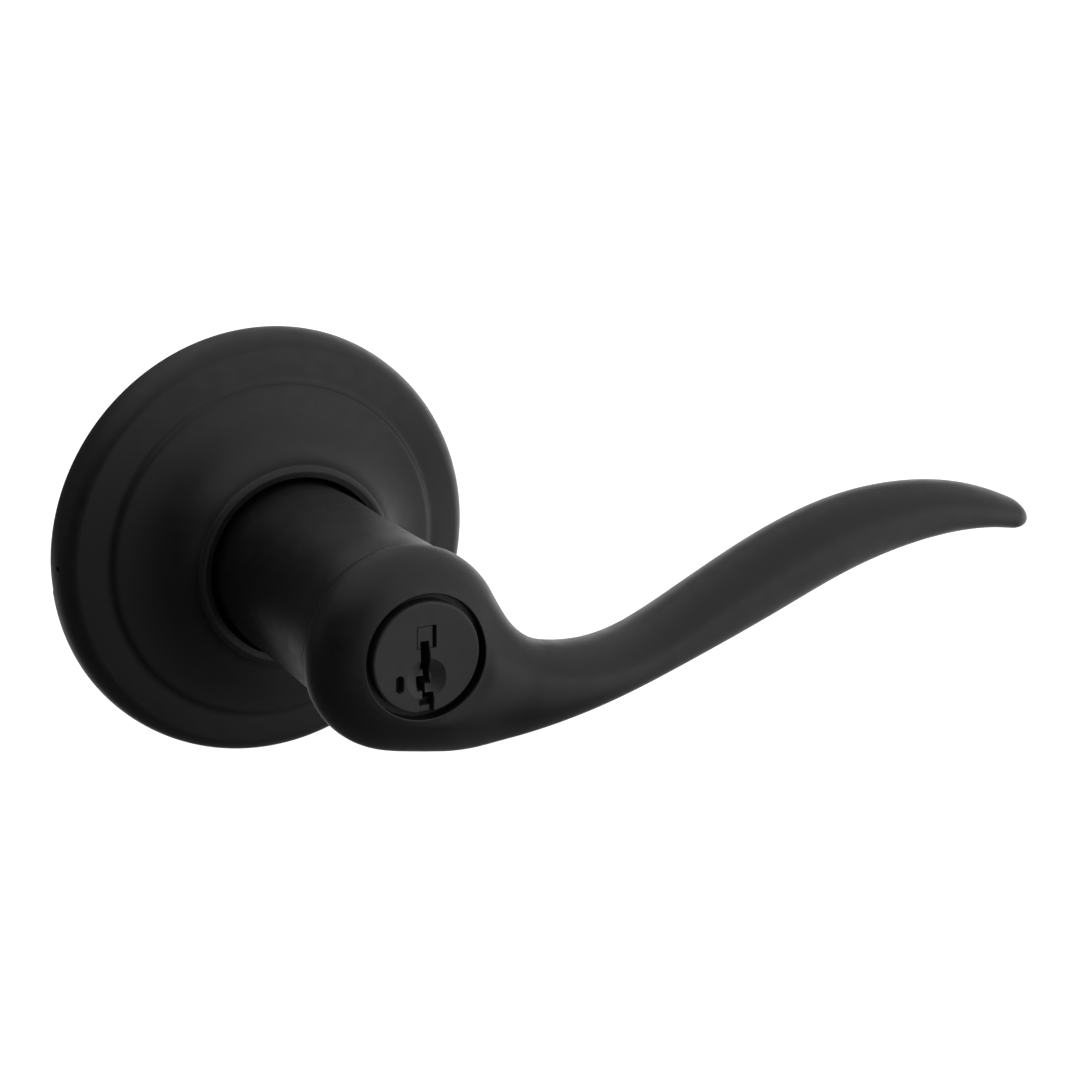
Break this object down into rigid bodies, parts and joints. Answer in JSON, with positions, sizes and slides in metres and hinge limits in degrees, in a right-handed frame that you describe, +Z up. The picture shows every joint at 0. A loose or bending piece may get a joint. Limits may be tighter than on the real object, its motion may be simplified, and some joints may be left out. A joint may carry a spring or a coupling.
{
  "type": "lever handle lockset",
  "caption": "Keyed door lever, exterior half: round rose, curved lever with a key cylinder in its head, sprung chassis, threaded posts, latch spindle and torque blade.",
  "frame": {"origin": "on the lever's turning axis, in the plane of the door face", "axes": "+Z up, the front of the lock faces -Y and the lever points to +X; what is behind the door face is at +Y"},
  "size_m": [0.1404, 0.1067, 0.0666],
  "materials": {
    "black_lever": "satin black coat over cast zinc",
    "black_rose": "satin black coat over drawn steel",
    "black_plug": "satin black coat over brass",
    "zinc_steel": "bright zinc plate",
    "spring_steel": "drawn wire",
    "dark_steel": "blackened spring steel",
    "brass": "turned brass",
    "nylon": "natural nylon"
  },
  "bodies": {
    "chassis": {"rose": "black_rose", "chassis_plate": "zinc_steel", "post_left": "zinc_steel", "post_right": "zinc_steel", "spindle_bush": "nylon", "spring_cover": "zinc_steel", "cover_screws": "zinc_steel", "return_spring": "spring_steel"},
    "lever_set": {"lever": "black_lever", "drive_tube": "brass", "driver_plate": "zinc_steel", "wave_washer": "spring_steel", "tube_circlip": "dark_steel", "spindle_carrier": "zinc_steel", "latch_spindle": "zinc_steel", "cylinder_body": "brass", "cylinder_ring": "dark_steel", "catch_spring": "spring_steel"},
    "catch": {"lever_catch": "zinc_steel"},
    "key_plug": {"plug": "black_plug", "face_insert": "black_plug", "rack_carrier": "brass", "spring_cap": "brass", "plug_clip": "dark_steel", "torque_blade": "zinc_steel", "bar_springs": "spring_steel", "pin_spring_1": "spring_steel", "pin_spring_2": "spring_steel", "pin_spring_3": "spring_steel", "pin_spring_4": "spring_steel", "pin_spring_5": "spring_steel"},
    "bar": {"locking_bar": "brass"},
    "key_pin_1": {"pin_1": "brass", "rack_1": "zinc_steel"},
    "key_pin_2": {"pin_2": "brass", "rack_2": "zinc_steel"},
    "key_pin_3": {"pin_3": "brass", "rack_3": "zinc_steel"},
    "key_pin_4": {"pin_4": "brass", "rack_4": "zinc_steel"},
    "key_pin_5": {"pin_5": "brass", "rack_5": "zinc_steel"}
  },
  "joints": [
    {"name": "lever_turn", "type": "hinge", "parent": "chassis", "child": "lever_set", "pos_m": [0, 0, 0], "axis": [0, 1, 0], "range_deg": [-45, 45], "stiffness_Nm_per_rad": 1.2, "springref_deg": -1.72, "deforming": ["return_spring"]},
    {"name": "key_turn", "type": "hinge", "parent": "lever_set", "child": "key_plug", "pos_m": [0, 0, 0], "axis": [0, 1, 0], "range_deg": [0, 90]},
    {"name": "catch_press", "type": "slide", "parent": "lever_set", "child": "catch", "axis": [0, 0, 1], "range_m": [0, 0.002], "stiffness_N_per_m": 200, "springref_m": -0.002, "deforming": ["catch_spring"]},
    {"name": "bar_slide", "type": "slide", "parent": "key_plug", "child": "bar", "axis": [-1, 0, 0], "range_m": [-0.0009, 0], "deforming": ["bar_springs"]},
    {"name": "pin_1_lift", "type": "slide", "parent": "key_plug", "child": "key_pin_1", "axis": [0, 0, 1], "range_m": [0, 0.002], "stiffness_N_per_m": 50, "springref_m": -0.003, "deforming": ["pin_spring_1"]},
    {"name": "pin_2_lift", "type": "slide", "parent": "key_plug", "child": "key_pin_2", "axis": [0, 0, 1], "range_m": [0, 0.002], "stiffness_N_per_m": 50, "springref_m": -0.003, "deforming": ["pin_spring_2"]},
    {"name": "pin_3_lift", "type": "slide", "parent": "key_plug", "child": "key_pin_3", "axis": [0, 0, 1], "range_m": [0, 0.002], "stiffness_N_per_m": 50, "springref_m": -0.003, "deforming": ["pin_spring_3"]},
    {"name": "pin_4_lift", "type": "slide", "parent": "key_plug", "child": "key_pin_4", "axis": [0, 0, 1], "range_m": [0, 0.002], "stiffness_N_per_m": 50, "springref_m": -0.003, "deforming": ["pin_spring_4"]},
    {"name": "pin_5_lift", "type": "slide", "parent": "key_plug", "child": "key_pin_5", "axis": [0, 0, 1], "range_m": [0, 0.002], "stiffness_N_per_m": 50, "springref_m": -0.003, "deforming": ["pin_spring_5"]}
  ]
}
